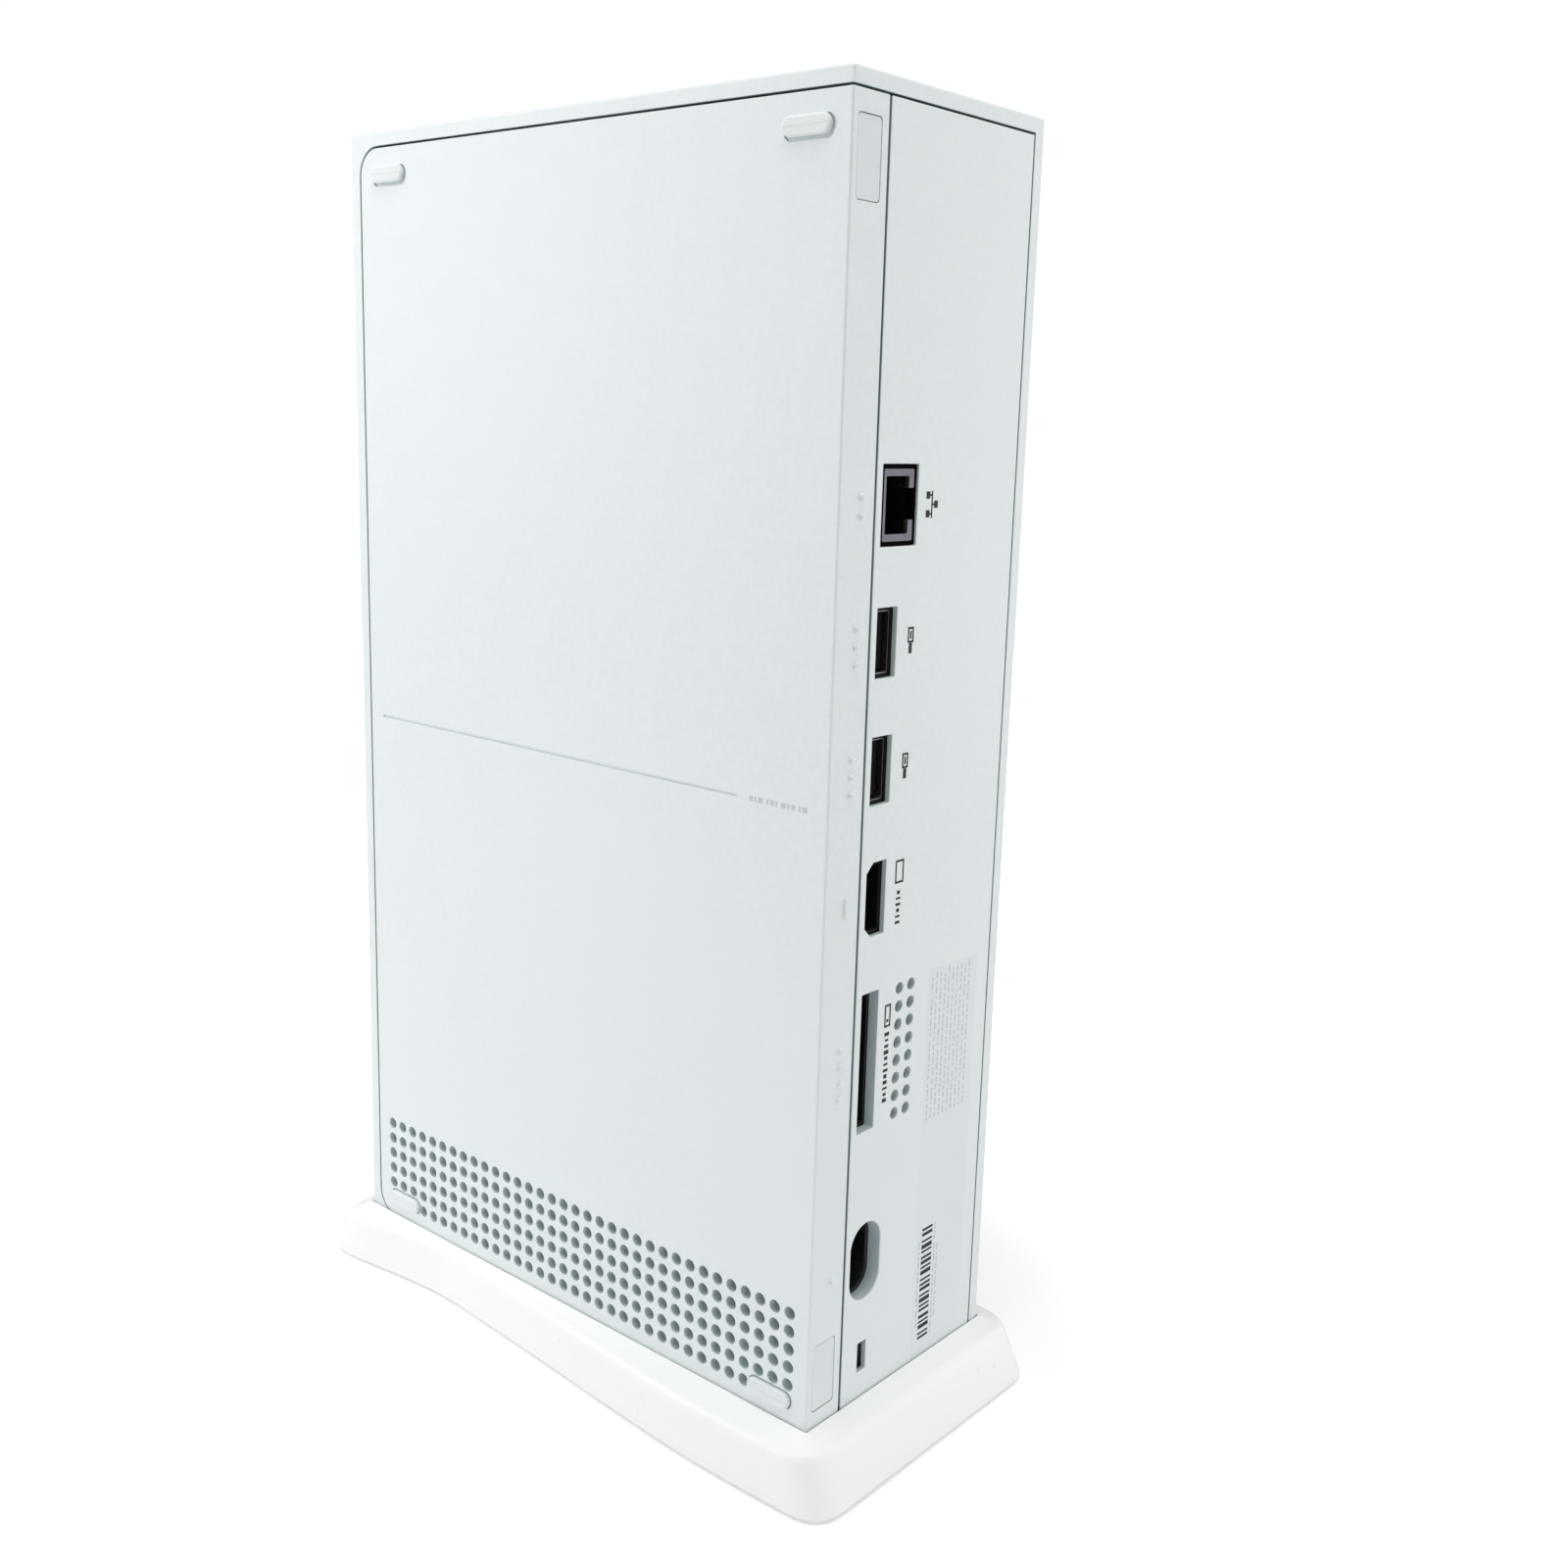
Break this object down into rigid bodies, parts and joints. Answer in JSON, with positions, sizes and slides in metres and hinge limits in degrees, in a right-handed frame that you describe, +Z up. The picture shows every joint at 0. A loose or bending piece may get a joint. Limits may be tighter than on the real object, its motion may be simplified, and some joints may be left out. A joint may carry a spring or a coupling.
{
  "type": "game console on stand",
  "caption": "Slab game console standing on end in a low flared stand: vented base tray with feet, rear port panel, round fan grille, working buttons, internals.",
  "frame": {"origin": "on the ground, under the middle of the stand", "axes": "+Z up along the console's long edge; +Y out of the port panel; +X out of the underside with the feet; the round grille faces -X and the buttons face -Y"},
  "size_m": [0.0816, 0.173, 0.285],
  "materials": {
    "shell_white": "fine satin grain, cool white",
    "tray_white": "matt, cool white",
    "stand_white": "smooth satin gloss, pure white",
    "foot_rubber": "matt, warm white",
    "pad_rubber": "matt, mid grey",
    "black_plastic": "satin black",
    "dark_plastic": "matt charcoal",
    "cover_label": "matt pale grey film",
    "steel": "bright zinc",
    "nickel": "dull nickel",
    "aluminium": "extruded",
    "circuit_board": "solder mask over glass fibre",
    "chip": "moulded black resin",
    "flex": "amber film"
  },
  "bodies": {
    "stand": {"stand_base": "stand_white", "stand_pad_1": "pad_rubber", "stand_pad_2": "pad_rubber", "stand_pad_3": "pad_rubber", "stand_pad_4": "pad_rubber"},
    "console": {"outer_shell": "shell_white", "rear_panel": "shell_white", "base_tray": "tray_white", "base_foot_1": "foot_rubber", "base_foot_2": "foot_rubber", "base_foot_3": "foot_rubber", "base_foot_4": "foot_rubber", "end_pad_front": "foot_rubber", "end_pad_back": "foot_rubber", "screw_cover_upper": "cover_label", "screw_cover_lower": "cover_label", "case_screw_upper": "steel", "case_screw_lower": "steel", "lock_bracket": "steel", "power_switch": "steel", "pair_switch": "steel", "chassis_shield": "steel", "heatsink_clamp": "steel", "clock_battery": "steel", "board_screw_1": "steel", "board_screw_2": "steel", "board_screw_3": "steel", "board_screw_4": "steel", "ethernet_jack": "nickel", "usb_port_upper": "nickel", "usb_port_lower": "nickel", "video_port": "nickel", "front_usb_port": "nickel", "processor": "nickel", "storage_slot": "black_plastic", "ac_inlet": "black_plastic", "fan_grille": "black_plastic", "fan_frame": "black_plastic", "speaker": "black_plastic", "board_power_plug": "black_plastic", "front_board": "circuit_board", "power_button_board": "circuit_board", "motherboard": "circuit_board", "storage_card": "circuit_board", "wireless_card": "circuit_board", "ir_receiver": "chip", "memory_chip_1": "chip", "memory_chip_2": "chip", "memory_chip_3": "chip", "memory_chip_4": "chip", "memory_chip_5": "chip", "inlet_lead": "chip", "fan_lead": "chip", "heatsink": "aluminium", "power_supply": "dark_plastic", "front_ribbon": "flex"},
    "power_button": {"power_button": "shell_white"},
    "pair_button": {"pair_button": "shell_white"},
    "fan_rotor": {"fan_rotor": "black_plastic"}
  },
  "joints": [
    {"name": "console_lift", "type": "slide", "parent": "stand", "child": "console", "axis": [0, 0, 1], "range_m": [0, 0.06]},
    {"name": "power_press", "type": "slide", "parent": "console", "child": "power_button", "axis": [0, 1, 0], "range_m": [0, 0.0007], "stiffness_N_per_m": 900, "springref_m": -0.0006},
    {"name": "pair_press", "type": "slide", "parent": "console", "child": "pair_button", "axis": [0, 1, 0], "range_m": [0, 0.0007], "stiffness_N_per_m": 900, "springref_m": -0.0006},
    {"name": "fan_spin", "type": "hinge", "parent": "console", "child": "fan_rotor", "pos_m": [-0.0197, 0, 0.2095], "axis": [1, 0, 0], "continuous": true}
  ]
}
